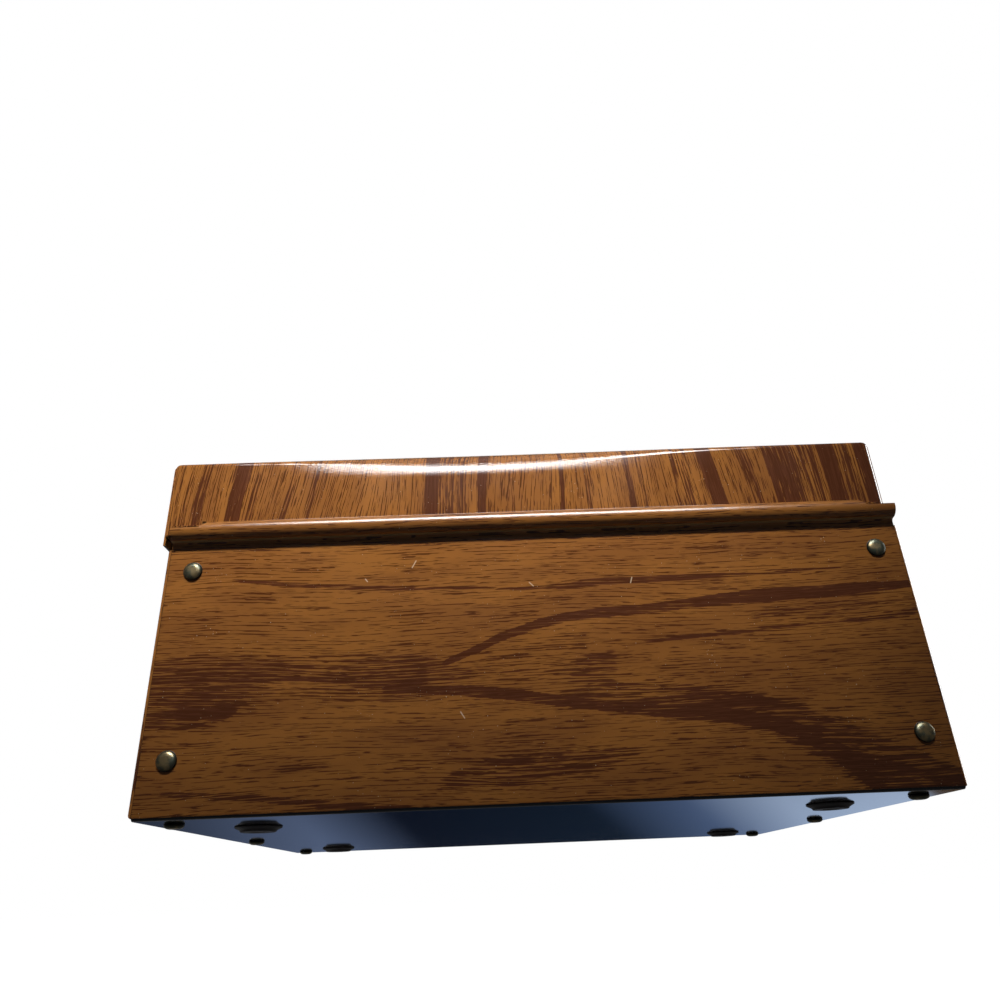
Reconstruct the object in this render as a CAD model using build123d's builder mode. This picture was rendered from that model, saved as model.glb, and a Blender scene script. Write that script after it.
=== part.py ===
from build123d import *
import os
from math import cos, pi

# Folded sheet-steel file box. The back is at -Y, the front at +Y, and +Z is up.
# The origin lies under the middle of the box, on the plane that its feet stand on.

# Overall sizes, in millimetres
box_width = 222.0          # over the two end plates
box_depth = 190.0          # over the back and front panels
back_height = 78.0         # bottom sheet up to the underside of the hinge roll
lid_height = 105.6         # bottom sheet up to the flat of the lid's top
sheet = 0.6                # steel thickness

# Hinge: the back panel ends in an open roll, and a hook on the lid turns round its lip
roll_radius = 3.05
neck_radius = 1.0          # hollow bend between the back panel and the roll
lip_tail = 0.3             # flat end of the lip, past the top of the roll
hook_radius = 0.85         # inside of the lid's hook, round the lip
hook_sweep = 135.0         # degrees of hook below the lid's back wall
lip_trim_length = 10.3     # low part of the lip at each end, from the side of the box
lip_bevel = 2.8
lip_trim_height = 0.5      # above the middle of the roll

# Body wrap: back, bottom and front in one sheet
wrap_setback = 1.8         # raw edges of the wrap inside the end plates' faces
wrap_bend = 1.2
hem_length = 6.0
front_hem_radius = 0.8
hem_leaf_gap = 0.3         # clear of the end plates' flanges

# End plates of the body
plate_bend = 2.0
plate_flange = 15.0
corner_notch = 2.6         # the flanges stop this far short of the lower corners
notch_clearance = 0.2      # past the raw edge of the wrap
rim_hem_radius = 1.6       # open hem that the lid's side wall lands on
rim_drop = 3.2             # rim of the end plates below the middle of the roll
rim_setback = 7.0          # ends of the rim hem short of the corners
flange_slope = 4.0         # slanting top of the back and front flanges
flange_top_gap = 1.2       # flange tops below the rim

# Lid
lid_shift = 2.1            # the lid sits this far towards -X on its hinge
lid_gap = 0.6              # running gap between the lid's side walls and the rim
lid_bend = 1.4
lid_corner = 2.0
tab_length = 9.0           # corner tabs that lie inside the side walls
side_wall_setback = 2.2    # raw ends of the side walls, past the corner bends
side_lap = 3.0             # flat of the top beside each side wall's bend
front_overlap = 7.0        # front wall of the lid below the rim
front_clearance = 0.5
hook_margin = 3.7          # plain end of the back wall beside the hook
hook_tab = 8.2             # short end length of the hook
hook_slot = 1.2            # relief slot between the end length and the main hook
wall_drop = 3.0            # plain ends of the back wall, below the hinge axis

# The back edge of the lid's top is crowned along its length, and bent softer there
crown_rise = 1.8
crown_radius = 6.5
crown_middle = -10.0
crown_half_length = 82.0
crown_steps = 6

# Rivets, semi-tubular with an oval head
rivet_head_radius = 2.85
rivet_head_height = 1.25
rivet_flat_radius = 0.9
rivet_shoulder_radius = 2.05
rivet_shoulder_height = 0.85
rivet_shank_radius = 1.6
rivet_hole_clearance = 0.05
rivet_tail_radius = 2.3
rivet_tail_height = 0.9
rivet_bore_radius = 1.0
rivet_bore_depth = 1.7
rivet_side_inset = 9.0     # back and front rivets, from the side of the box
rivet_low = 14.8           # lower row, above the bottom sheet
rivet_high = 68.8          # upper row of the back
front_rivet_gap = 4.0      # upper row of the front, below the lid's front wall
bottom_rivet_inset = 8.4   # bottom rivets, from the side of the box
bottom_rivet_end = 13.0    # end rivets, from the back and front panels

# Feet
foot_height = 1.5
foot_base_radius = 7.0
foot_tip_radius = 5.2
foot_side_inset = 26.5
foot_end_inset = 31.0

# Places that follow from the sizes
half_width = box_width / 2
back_y = -box_depth / 2
front_y = box_depth / 2
base_z = foot_height
floor_z = base_z + sheet
roll_y = back_y - neck_radius
roll_z = base_z + back_height + roll_radius
roll_top = roll_z + roll_radius
pivot_y = roll_y
pivot_z = roll_top - sheet / 2
rim_z = roll_z - rim_drop
wrap_width = 2 * (half_width - wrap_setback)
lid_top = base_z + lid_height
lid_back = pivot_y + hook_radius
lid_front = front_y + front_clearance + sheet
lid_side_z = rim_z + lid_gap
lid_front_z = rim_z - front_overlap
slack = 1.0                # how far a cutter stands out of what it cuts
overlap = 0.1              # how far a bend runs into the wall that it joins

rivet_low_z = base_z + rivet_low
rivet_high_z = base_z + rivet_high
front_rivet_high_z = lid_front_z - front_rivet_gap - rivet_head_radius
rivet_seats = {}
for side, x in (("left", -1), ("right", 1)):
    wall_x = x * (half_width - rivet_side_inset)
    wall_rows = (("lower", rivet_low_z, rivet_low_z), ("upper", rivet_high_z, front_rivet_high_z))
    for row, back_z, front_z in wall_rows:
        rivet_seats[f"rivet_back_{side}_{row}"] = Location((wall_x, back_y, back_z), (-90, 0, 0))
        rivet_seats[f"rivet_front_{side}_{row}"] = Location((wall_x, front_y, front_z), (90, 0, 0))
    bottom_x = x * (half_width - bottom_rivet_inset)
    end_y = front_y - bottom_rivet_end
    for row, y in (("back", -end_y), ("middle", 0), ("front", end_y)):
        rivet_seats[f"rivet_bottom_{side}_{row}"] = Location((bottom_x, y, base_z))
rivet_reach = 3 * sheet    # drilled depth of a rivet hole, through both sheets
rivet_holes = [seat * Location((0, 0, rivet_reach)) for seat in rivet_seats.values()]
hole_radius = rivet_shank_radius + rivet_hole_clearance

os.makedirs("parts", exist_ok=True)

# Body wrap: one sheet from the lip of the hinge roll, down the back, along the bottom
# and up the front to a hem. The profile is the outer face, thickened inwards.
with BuildPart() as body_wrap:
    with BuildSketch(Plane.YZ):
        with BuildLine():
            Line((pivot_y + lip_tail, roll_top), (roll_y, roll_top))
            CenterArc((roll_y, roll_z), roll_radius, 90, 180)
            neck_z = roll_z - roll_radius - neck_radius
            CenterArc((roll_y, neck_z), neck_radius, 90, -90)
            Line((back_y, neck_z), (back_y, base_z + wrap_bend))
            CenterArc((back_y + wrap_bend, base_z + wrap_bend), wrap_bend, 180, 90)
            Line((back_y + wrap_bend, base_z), (front_y - wrap_bend, base_z))
            CenterArc((front_y - wrap_bend, base_z + wrap_bend), wrap_bend, 270, 90)
            hem_z = rim_z - front_hem_radius
            hem_y = front_y - 2 * front_hem_radius
            Line((front_y, base_z + wrap_bend), (front_y, hem_z))
            CenterArc((front_y - front_hem_radius, hem_z), front_hem_radius, 0, 180)
            Line((hem_y, hem_z), (hem_y, hem_z - hem_length))
            offset(amount=sheet, side=Side.LEFT)
        make_face()
    extrude(amount=wrap_width / 2, both=True)
    # The lip is trimmed low at both ends, with a bevel up to its full height
    with BuildSketch(Plane.XZ.offset(-pivot_y - 2 * lip_tail)):
        for end in (-1, 1):
            with BuildLine():
                Polyline(
                    (end * (half_width + slack), roll_z + lip_trim_height),
                    (end * (half_width - lip_trim_length), roll_z + lip_trim_height),
                    (end * (half_width - lip_trim_length - lip_bevel), roll_top + overlap),
                    (end * (half_width - lip_trim_length - lip_bevel), roll_top + slack),
                    (end * (half_width + slack), roll_top + slack),
                    close=True,
                )
            make_face()
    extrude(amount=2 * roll_radius + slack, mode=Mode.SUBTRACT)
    # The hem's inner leaf stops beside the front flanges of the end plates
    for end in (-1, 1):
        with Locations((end * half_width, front_y - sheet - hem_leaf_gap, hem_z)):
            Box(
                2 * (plate_flange + hem_leaf_gap), 2 * front_hem_radius, 2 * hem_length + slack,
                align=(Align.CENTER, Align.MAX, Align.MAX), mode=Mode.SUBTRACT,
            )
    with Locations(*rivet_holes):
        Hole(hole_radius, depth=rivet_reach)
body_wrap.part.label = "body_wrap"
export_step(body_wrap.part, "parts/body_wrap.step")

# End plate: a tray with flanges folded in at the back, bottom and front, notched at its
# lower corners, and an open hem along the rim.
with BuildPart() as end_plate_right:
    with BuildSketch(Plane.XY.offset(floor_z)):
        with Locations((half_width - plate_flange / 2, 0)):
            Rectangle(plate_flange, box_depth - 2 * sheet)
    extrude(amount=rim_z - rim_hem_radius - floor_z)
    outer = end_plate_right.faces().sort_by(Axis.X)[-1]
    fillet(outer.edges().sort_by(Axis.Z)[:-1], radius=plate_bend)
    openings = [end_plate_right.faces().sort_by(Axis.X)[0], end_plate_right.faces().sort_by(Axis.Z)[-1]]
    offset(amount=-sheet, openings=openings)
    # The flanges end in a slope below the rim
    with BuildSketch(Plane.XZ.offset(-front_y)):
        with BuildLine():
            flange_top = rim_z - rim_hem_radius - flange_top_gap
            inner_x = half_width - plate_flange
            Polyline(
                (half_width - plate_bend - sheet, rim_z + slack),
                (half_width - plate_bend - sheet, flange_top),
                (inner_x - slack, flange_top - flange_slope),
                (inner_x - slack, rim_z + slack),
                close=True,
            )
        make_face()
    extrude(amount=box_depth, mode=Mode.SUBTRACT)
    # The flanges stop short of each other at the lower corners
    notch_x = half_width - wrap_setback + notch_clearance
    for end in (-1, 1):
        with Locations((notch_x - plate_flange / 2, end * (front_y - sheet), floor_z)):
            Box(plate_flange, 2 * corner_notch, 2 * corner_notch, mode=Mode.SUBTRACT)
    # Rim hem
    with BuildSketch(Plane.XZ):
        with BuildLine():
            hem_low = rim_z - rim_hem_radius
            Line((half_width, hem_low - overlap), (half_width, hem_low))
            CenterArc((half_width - rim_hem_radius, hem_low), rim_hem_radius, 0, 180)
            hem_x = half_width - 2 * rim_hem_radius
            Line((hem_x, hem_low), (hem_x, hem_low - hem_length))
            offset(amount=sheet, side=Side.LEFT)
        make_face()
    extrude(amount=front_y - rim_setback, both=True)
    with Locations(*rivet_holes):
        Hole(hole_radius, depth=rivet_reach)
end_plate_right.part.label = "end_plate_right"
export_step(end_plate_right.part, "parts/end_plate_right.step")

with BuildPart() as end_plate_left:
    mirror(end_plate_right.part, about=Plane.YZ)
end_plate_left.part.label = "end_plate_left"
export_step(end_plate_left.part, "parts/end_plate_left.step")


def crown_share(x):
    """How much of the crown there is at x: 1 in its middle, easing to 0 at its ends."""
    reach = (x - crown_middle) / crown_half_length
    return (1 + cos(pi * reach)) / 2


def lid_form(inset):
    """The lid's tray as a solid, set in from its outer faces by inset."""
    low_y = lid_back + inset
    high_y = lid_front - inset
    top_z = lid_top - inset
    front_bend = lid_bend - inset
    crown_start = crown_middle - crown_half_length
    with BuildPart() as form:
        with BuildSketch(Plane.XY.offset(lid_front_z)):
            with Locations((-lid_shift, (low_y + high_y) / 2)):
                Rectangle(box_width - 2 * sheet - 2 * inset, high_y - low_y)
        extrude(amount=top_z - lid_front_z)
        fillet(form.edges().filter_by(Axis.Z), radius=lid_corner - inset)
        fillet(form.faces().sort_by(Axis.Z)[-1].edges(), radius=front_bend)
        # Between the two ends the back of the top rises, and its bend grows softer
        with Locations((crown_middle, (low_y + high_y) / 2, lid_front_z)):
            Box(
                2 * crown_half_length, box_depth + box_width, lid_height,
                align=(Align.CENTER, Align.CENTER, Align.MIN), mode=Mode.SUBTRACT,
            )
        stations = []
        for step in range(crown_steps + 1):
            x = crown_start + 2 * crown_half_length * step / crown_steps
            back_bend = lid_bend + (crown_radius - lid_bend) * crown_share(x) - inset
            crown_z = top_z + crown_rise * crown_share(x)
            back_bend_z = crown_z - back_bend
            with BuildSketch(Plane.YZ.offset(x)) as station:
                with BuildLine():
                    Line((high_y, top_z - front_bend), (high_y, lid_front_z))
                    Line((high_y, lid_front_z), (low_y, lid_front_z))
                    Line((low_y, lid_front_z), (low_y, back_bend_z))
                    CenterArc((low_y + back_bend, back_bend_z), back_bend, 180, -90)
                    Line((low_y + back_bend, crown_z), (high_y - front_bend, top_z))
                    CenterArc((high_y - front_bend, top_z - front_bend), front_bend, 90, -90)
                make_face()
            stations.append(station.sketch)
        loft(stations)
    return form.part


# Lid: one sheet with four walls. The back wall's ends turn the corner inside the side
# walls, and its lower edge curls into the hook that hangs on the lip of the roll.
lid_middle = (lid_back + lid_front) / 2
lid_length = lid_front - lid_back
hook_half = half_width - hook_margin
tab_end = hook_half - hook_tab
with BuildPart() as lid:
    add(lid_form(0))
    add(lid_form(sheet), mode=Mode.SUBTRACT)
    # The tray keeps only short tabs at its corners, and the side walls take over from them
    with BuildSketch(Plane.XY.offset(lid_front_z - slack)):
        for end in (-1, 1):
            with Locations((end * half_width - lid_shift, lid_middle)):
                Rectangle(2 * lid_bend, lid_length - 2 * tab_length)
    extrude(amount=lid_height, mode=Mode.SUBTRACT)
    # Below the side walls only the front wall goes on, between its corner bends
    with BuildSketch(Plane.XY.offset(lid_front_z - slack)):
        with Locations((-lid_shift, lid_middle - lid_corner)):
            Rectangle(box_width, lid_length)
        for end in (-1, 1):
            with Locations((end * (half_width - sheet) - lid_shift, lid_middle)):
                Rectangle(2 * lid_corner, lid_length + slack)
    extrude(amount=lid_side_z - lid_front_z + slack, mode=Mode.SUBTRACT)
    # The back wall ends at the hinge axis, and a little lower at its plain ends
    for half, low in ((hook_half, pivot_z), (half_width, pivot_z - wall_drop)):
        with BuildSketch(Plane.XY.offset(lid_side_z - slack)):
            with Locations((-lid_shift, lid_back + tab_length / 2)):
                Rectangle(2 * half, tab_length + slack)
        extrude(amount=low - lid_side_z + slack, mode=Mode.SUBTRACT)
    # Side walls, each with its bend and a strip of the top
    bend_z = lid_top - lid_bend
    for end, inwards in ((-1, Side.RIGHT), (1, Side.LEFT)):
        with BuildSketch(Plane.XZ.offset(-lid_middle)):
            with BuildLine():
                wall_x = end * half_width - lid_shift
                bend_x = wall_x - end * lid_bend
                Line((wall_x, lid_side_z), (wall_x, bend_z))
                CenterArc((bend_x, bend_z), lid_bend, 90 - 90 * end, 90 * end)
                Line((bend_x, lid_top), (bend_x - end * side_lap, lid_top))
                offset(amount=sheet, side=inwards)
            make_face()
        extrude(amount=lid_length / 2 - side_wall_setback, both=True)
    # Hook: a long length between two short ones, parted by relief slots
    slot_end = tab_end - hook_slot
    for low, high in ((-hook_half, -tab_end), (-slot_end, slot_end), (tab_end, hook_half)):
        with BuildSketch(Plane.YZ.offset(low - lid_shift)):
            with BuildLine():
                inner = CenterArc((pivot_y, pivot_z), hook_radius, 0, -hook_sweep)
                outer = CenterArc((pivot_y, pivot_z), hook_radius + sheet, 0, -hook_sweep)
                Line(inner @ 0, outer @ 0)
                Line(inner @ 1, outer @ 1)
            make_face()
        extrude(amount=high - low)
    for end in (-1, 1):
        with Locations((end * (tab_end - hook_slot / 2) - lid_shift, lid_back, pivot_z)):
            Box(hook_slot, 4 * sheet, 2 * hook_slot, mode=Mode.SUBTRACT)
lid.part.label = "lid"
export_step(lid.part, "parts/lid.step")

# Rivet: oval head below the sheets, shank up through them, and the tail rolled over a bore.
# The oval is turned in two tapers and a flat.
grip = 2 * sheet
tail_z = grip + rivet_tail_height
with BuildPart() as rivet:
    with BuildSketch(Plane.XZ):
        with BuildLine():
            Polyline(
                (0, -rivet_head_height), (rivet_flat_radius, -rivet_head_height),
                (rivet_shoulder_radius, -rivet_shoulder_height), (rivet_head_radius, 0),
                (rivet_shank_radius, 0), (rivet_shank_radius, grip),
                (rivet_tail_radius, grip), (rivet_bore_radius, tail_z),
                (rivet_bore_radius, tail_z - rivet_bore_depth), (0, tail_z - rivet_bore_depth),
                close=True,
            )
        make_face()
    revolve(axis=Axis.Z)

for name, seat in rivet_seats.items():
    with BuildPart() as placed_rivet:
        with Locations(seat):
            add(rivet.part)
    placed_rivet.part.label = name
    export_step(placed_rivet.part, f"parts/{name}.step")

# Foot: a low moulded stud stuck to the bottom sheet
with BuildPart() as foot:
    with BuildSketch(Plane.XZ):
        foot_rim = (foot_base_radius, foot_height)
        Polygon((0, 0), (foot_tip_radius, 0), foot_rim, (0, foot_height), align=None)
    revolve(axis=Axis.Z)
for side, x in (("left", -1), ("right", 1)):
    for row, y in (("back", -1), ("front", 1)):
        with BuildPart() as placed_foot:
            with Locations((x * (half_width - foot_side_inset), y * (front_y - foot_end_inset), 0)):
                add(foot.part)
        placed_foot.part.label = f"foot_{row}_{side}"
        export_step(placed_foot.part, f"parts/foot_{row}_{side}.step")
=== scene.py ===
# %% [markdown]
# # A folded steel file box
#
# The box is three folded sheets and a lid. The back, bottom and front are one sheet, and its top
# edge at the back is rolled into an open tube. The lid's hook hangs on that roll and turns round it.
# The solids come from the CAD model as a fixed frame, so this notebook never moves or reshapes them.
# It gives each one its finish, models the small parts whose charm is in their shape, and lights it all.

# %% Load the frame
import math

import bpy
from mathutils import Matrix, Vector


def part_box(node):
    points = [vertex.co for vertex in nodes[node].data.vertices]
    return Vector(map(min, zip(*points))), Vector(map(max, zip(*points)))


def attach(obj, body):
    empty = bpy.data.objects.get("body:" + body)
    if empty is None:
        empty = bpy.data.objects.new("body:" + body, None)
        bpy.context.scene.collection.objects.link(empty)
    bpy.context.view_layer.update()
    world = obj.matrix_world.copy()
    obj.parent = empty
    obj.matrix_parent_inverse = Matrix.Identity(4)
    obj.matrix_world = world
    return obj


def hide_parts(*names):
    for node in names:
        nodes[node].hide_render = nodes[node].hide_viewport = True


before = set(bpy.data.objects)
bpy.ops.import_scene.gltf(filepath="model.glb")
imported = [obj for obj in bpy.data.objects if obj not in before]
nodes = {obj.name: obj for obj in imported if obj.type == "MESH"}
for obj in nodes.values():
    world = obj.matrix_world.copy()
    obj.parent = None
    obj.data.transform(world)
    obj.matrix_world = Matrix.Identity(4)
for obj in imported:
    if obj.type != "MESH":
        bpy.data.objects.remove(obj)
bpy.ops.object.select_all(action="DESELECT")
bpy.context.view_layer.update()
mm = 0.001
half_depth = 95.0      # from the middle of the box to its back and front panels, in millimetres

# %% [markdown]
# ## The camera
#
# The box is seen from behind and from a little below, close up, so its sides spread towards the
# ground. A phone's wide lens does that. The camera stands just under the level of the feet and looks
# up, and the angles below turn it from level to where the photographer held it.

# %% Camera
camera_spot = Vector((-13.77, -316.95, -18.10)) * mm
camera_pitch = math.radians(26.066)
camera_heading = math.radians(-0.9275)
camera_roll = math.radians(2.3638)
lens_length = 28.757
sensor_side = 36

bpy.ops.object.camera_add(location=camera_spot)
camera = bpy.context.object
camera.name = "photo_camera"
camera.rotation_mode = "QUATERNION"
turn = Matrix.Rotation(camera_heading, 3, "Z") @ Matrix.Rotation(math.pi / 2 + camera_pitch, 3, "X")
camera.rotation_quaternion = (turn @ Matrix.Rotation(-camera_roll, 3, "Z")).to_quaternion()
camera.data.lens = lens_length
camera.data.sensor_width = sensor_side
camera.data.clip_start = 0.01
bpy.context.scene.camera = camera
print("camera looks along", [round(v, 4) for v in turn @ Vector((0, 0, -1))])

# %% [markdown]
# ## Small tools for node trees
#
# Every finish here is a graph of nodes. Written out in full such a graph is long, so three short
# helpers add a node and wire its inputs, whether an input is a number or another node's output.


# %% Node tools
def plug(tree, socket, value):
    """Sets an input to a number or colour, or links another node's output to it."""
    if isinstance(value, bpy.types.NodeSocket):
        tree.links.new(value, socket)
    else:
        socket.default_value = value


def calc(tree, operation, *values, clamp=False):
    """One Math node, and its result."""
    node = tree.nodes.new("ShaderNodeMath")
    node.operation = operation
    node.use_clamp = clamp
    for socket, value in zip(node.inputs, values):
        plug(tree, socket, value)
    return node.outputs[0]


def ramp(tree, value, low, high, to_low=0.0, to_high=1.0):
    """Eases from to_low to to_high while value goes from low to high."""
    node = tree.nodes.new("ShaderNodeMapRange")
    node.interpolation_type = "SMOOTHSTEP"
    inputs = ("Value", "From Min", "From Max", "To Min", "To Max")
    for name, number in zip(inputs, (value, low, high, to_low, to_high)):
        plug(tree, node.inputs[name], number)
    return node.outputs["Result"]


print("node tools ready")

# %% [markdown]
# ## The studio
#
# Everything behind the object is white. The world is white to the camera, and mirrors that look the
# same way see that backdrop too, at half strength, over a dim room. On matte surfaces the world
# throws only a weak, even light. The box was held up in the air, so the pale floor lies a hand's
# breadth below it. Close by, the floor shows the object's shadow, and further off it fades into the
# white of the background.

# %% World
room_light = 0.024
room_behind_camera = 0.05
backdrop_in_mirrors, backdrop_starts = 0.5, 0.75
ceiling_in_mirrors, ceiling_starts = 0.6, 0.9
world = bpy.data.worlds.new("studio")
bpy.context.scene.world = world
world.use_nodes = True
world_tree = world.node_tree
world_tree.nodes.clear()
rays = world_tree.nodes.new("ShaderNodeLightPath")
direction = world_tree.nodes.new("ShaderNodeTexCoord")
compass = world_tree.nodes.new("ShaderNodeSeparateXYZ")
world_tree.links.new(direction.outputs["Generated"], compass.inputs[0])
backdrop_side = ramp(
    world_tree, compass.outputs["Y"], backdrop_starts, 1.0, room_behind_camera, backdrop_in_mirrors,
)
ceiling_side = ramp(world_tree, compass.outputs["Z"], ceiling_starts, 1.0, 0.0, ceiling_in_mirrors)
mirror_level = calc(world_tree, "MAXIMUM", backdrop_side, ceiling_side)
sees_mirror = calc(
    world_tree, "MAXIMUM", rays.outputs["Is Glossy Ray"], rays.outputs["Is Transmission Ray"],
)
lit_level = calc(world_tree, "MULTIPLY", calc(world_tree, "SUBTRACT", 1.0, sees_mirror), room_light)
mirrored = calc(world_tree, "MULTIPLY", sees_mirror, mirror_level)
off_camera = calc(world_tree, "ADD", lit_level, mirrored)
level = calc(world_tree, "MAXIMUM", off_camera, rays.outputs["Is Camera Ray"])
sky = world_tree.nodes.new("ShaderNodeBackground")
sky.inputs["Color"].default_value = (1, 1, 1, 1)
world_tree.links.new(level, sky.inputs["Strength"])
world_output = world_tree.nodes.new("ShaderNodeOutputWorld")
world_tree.links.new(sky.outputs[0], world_output.inputs["Surface"])
bpy.context.scene.view_settings.view_transform = "Standard"
print("world lights at", room_light)

# %% Floor
floor_height = -0.12
floor_side = 24.0
floor_shade, floor_lift = 0.11, 0.80
floor_near, floor_far = 0.25, 0.85
mirrored_near, mirrored_far = 0.2, 1.5
bpy.ops.mesh.primitive_plane_add(size=floor_side, location=(0, 0, floor_height))
floor = bpy.context.object
floor.name = "floor"
bpy.ops.object.transform_apply(location=True, rotation=True, scale=True)
paper = bpy.data.materials.new("pale_paper")
paper.use_nodes = True
paper_tree = paper.node_tree
paper_tree.nodes.clear()
paper_output = paper_tree.nodes.new("ShaderNodeOutputMaterial")
matte = paper_tree.nodes.new("ShaderNodeBsdfDiffuse")
matte.inputs["Color"].default_value = (floor_shade, floor_shade, floor_shade, 1)
glow = paper_tree.nodes.new("ShaderNodeEmission")
paper_rays = paper_tree.nodes.new("ShaderNodeLightPath")
paper_place = paper_tree.nodes.new("ShaderNodeTexCoord")
paper_reach = paper_tree.nodes.new("ShaderNodeVectorMath")
paper_reach.operation = "LENGTH"
paper_tree.links.new(paper_place.outputs["Object"], paper_reach.inputs[0])
paper_axes = paper_tree.nodes.new("ShaderNodeSeparateXYZ")
paper_tree.links.new(paper_place.outputs["Object"], paper_axes.inputs[0])
far_off = ramp(paper_tree, paper_reach.outputs["Value"], floor_near, floor_far, floor_lift, 1.0)
in_mirrors = ramp(
    paper_tree, paper_axes.outputs["Y"], mirrored_near, mirrored_far, 0.0, backdrop_in_mirrors,
)
in_mirrors = calc(paper_tree, "MULTIPLY", in_mirrors, paper_rays.outputs["Is Glossy Ray"])
seen = calc(paper_tree, "MULTIPLY", far_off, paper_rays.outputs["Is Camera Ray"])
plug(paper_tree, glow.inputs["Strength"], calc(paper_tree, "MAXIMUM", seen, in_mirrors))
both = paper_tree.nodes.new("ShaderNodeAddShader")
paper_tree.links.new(matte.outputs[0], both.inputs[0])
paper_tree.links.new(glow.outputs[0], both.inputs[1])
paper_tree.links.new(both.outputs[0], paper_output.inputs["Surface"])
floor.data.materials.append(paper)
print("floor at", floor_height)

# %% [markdown]
# ## The lamps
#
# Two lamps stand on the photographer's side. The first is a soft strip above the camera, and only
# mirrors see it: it draws the white streak on the lid's rounded rear edge and the line of light
# along the roll. The second hangs closer, at the left, with a narrow beam, and only matte surfaces
# see it: it makes the left of the back brighter than its right, and throws the shadow under the
# roll. The lamps on the other sides are broad, and keep every view plain and even.


# %% Lamps
def softbox(name, spot, target, width, height, power, spread=180):
    """A soft rectangular lamp at spot that faces target, with its beam spread degrees wide."""
    bpy.ops.object.light_add(type="AREA", location=spot)
    lamp = bpy.context.object
    lamp.name = name
    lamp.rotation_mode = "QUATERNION"
    lamp.rotation_quaternion = (Vector(target) - Vector(spot)).to_track_quat("-Z", "Y")
    lamp.data.shape = "RECTANGLE"
    lamp.data.size = width
    lamp.data.size_y = height
    lamp.data.energy = power
    lamp.data.spread = math.radians(spread)
    lamp.visible_camera = False
    return lamp


box_middle = (0, 0, 0.05)
streak_lamp = softbox(
    "lamp_over_camera", spot=(0.0, -0.61, 0.63), target=(0.0, -0.095, 0.107),
    width=0.55, height=0.28, power=2.4, spread=70,
)
streak_lamp.visible_diffuse = False
key_lamp = softbox(
    "lamp_at_left", spot=(-0.137, -0.448, 0.487), target=(-0.131, -0.095, 0.122),
    width=0.46, height=0.05, power=0.34, spread=21.8,
)
key_lamp.visible_glossy = False
softbox("lamp_overhead", (0, 0.3, 1.3), box_middle, 1.2, 1.0, 0.5)
softbox("lamp_front", (0.3, 1.5, 0.40), box_middle, 1.0, 0.8, 19)
left_lamp = softbox("lamp_left", (-1.1, 0.25, 0.36), box_middle, 0.8, 0.8, 12)
left_lamp.visible_glossy = False
softbox("lamp_right", (1.3, 0.3, 0.42), box_middle, 0.8, 0.8, 15)

# %% [markdown]
# The near-black underside is a near mirror here, because it is seen at a very flat angle.
# A studio would stand a card behind the box for it to reflect. This one is night blue, with a paler
# part at the right like a window, and only mirrors see it. It casts no light and no shadow.

# %% Reflector card
card_distance = 0.60
card_low, card_high = -0.118, -0.008
card_half_width = 0.75
band_slant, band_shift = -1.2, 0.05
# Each row: a place across the card in metres, and its colour there.
card_bands = (
    (-0.75, (0.02, 0.026, 0.04)), (-0.36, (0.035, 0.047, 0.08)), (-0.21, (0.105, 0.145, 0.25)),
    (-0.11, (0.0055, 0.009, 0.020)), (0.10, (0.008, 0.016, 0.032)), (0.21, (0.080, 0.125, 0.24)),
    (0.31, (0.38, 0.49, 0.69)), (0.46, (0.48, 0.61, 0.84)), (0.475, (0.075, 0.045, 0.022)),
    (0.75, (0.05, 0.032, 0.018)),
)
card_middle = (0, card_distance, (card_low + card_high) / 2)
bpy.ops.mesh.primitive_plane_add(size=1, location=card_middle, rotation=(math.pi / 2, 0, 0))
card = bpy.context.object
card.name = "reflector_card"
card.scale = (2 * card_half_width, card_high - card_low, 1)
bpy.ops.object.transform_apply(location=True, rotation=True, scale=True)
card_paint = bpy.data.materials.new("reflector_bands")
card_paint.use_nodes = True
card_tree = card_paint.node_tree
card_tree.nodes.clear()
card_place = card_tree.nodes.new("ShaderNodeTexCoord")
card_axes = card_tree.nodes.new("ShaderNodeSeparateXYZ")
card_tree.links.new(card_place.outputs["Object"], card_axes.inputs[0])
shifted = calc(card_tree, "SUBTRACT", card_axes.outputs["X"], band_shift)
slanted = calc(card_tree, "MULTIPLY_ADD", card_axes.outputs["Z"], band_slant, shifted)
bands = card_tree.nodes.new("ShaderNodeValToRGB")
span = 2 * card_half_width
for index, (x, colour) in enumerate(card_bands):
    stop = (x + card_half_width) / span
    element = bands.color_ramp.elements[index] if index < 2 else bands.color_ramp.elements.new(stop)
    element.position = stop
    element.color = (*colour, 1)
from_edge = calc(card_tree, "ADD", slanted, card_half_width)
plug(card_tree, bands.inputs["Fac"], calc(card_tree, "DIVIDE", from_edge, span))
card_glow = card_tree.nodes.new("ShaderNodeEmission")
card_tree.links.new(bands.outputs["Color"], card_glow.inputs["Color"])
card_output = card_tree.nodes.new("ShaderNodeOutputMaterial")
card_tree.links.new(card_glow.outputs[0], card_output.inputs["Surface"])
card.data.materials.append(card_paint)
card.visible_camera = False
card.visible_diffuse = False
card.visible_transmission = False
card.visible_shadow = False
print("card bands:", len(card_bands))

# %% [markdown]
# ## The print on the steel
#
# The wood is only printed, in two inks on a flat golden ground. A red brown ink makes the dark figure,
# with edges that fray along the grain. Over it lies a dark ink in thin dashes, the pores of the wood,
# everywhere but closer together where the figure is. So the print needs two things: how much figure
# there is at each place, and fields of stretched noise that are cut at a level which that amount
# sets. Both are worked out in millimetres along and across the grain.


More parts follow.
